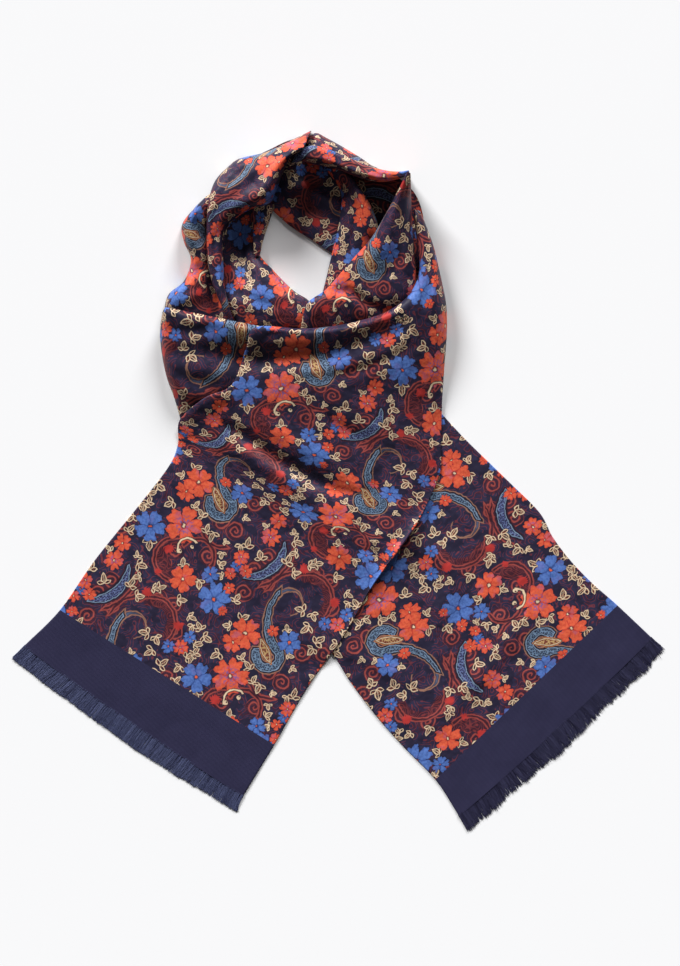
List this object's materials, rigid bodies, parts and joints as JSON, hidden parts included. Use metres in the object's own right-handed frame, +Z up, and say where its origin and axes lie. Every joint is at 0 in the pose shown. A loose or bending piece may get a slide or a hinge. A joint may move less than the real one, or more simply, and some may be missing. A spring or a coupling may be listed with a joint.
{
  "type": "silk scarf",
  "caption": "Fringed printed silk scarf lying flat, looped once as round a neck with its two tails crossed, plain dark bands at the ends.",
  "frame": {"origin": "on the table, below the centre of the bounding box", "axes": "+Z up from the table, +Y from the tails towards the neck loop, +X to the right"},
  "size_m": [0.652, 0.6994, 0.0437],
  "materials": {
    "printed_silk": "printed silk twill, soft satin sheen",
    "plain_band": "plain navy silk twill",
    "fringe": "loose twisted silk threads"
  },
  "bodies": {
    "root": {"left_tail": "printed_silk", "left_band": "plain_band", "left_fringe": "fringe", "right_tail": "printed_silk", "right_band": "plain_band", "right_fringe": "fringe", "left_shoulder": "printed_silk", "left_neck": "printed_silk", "back_left_collar": "printed_silk", "back_right_collar": "printed_silk", "back_right_outer": "printed_silk", "back_inside": "printed_silk", "inner_left_cowl": "printed_silk", "inner_left_ridge": "printed_silk", "inner_right_strand": "printed_silk", "right_flap": "printed_silk", "hidden_layers": "printed_silk"}
  },
  "joints": []
}
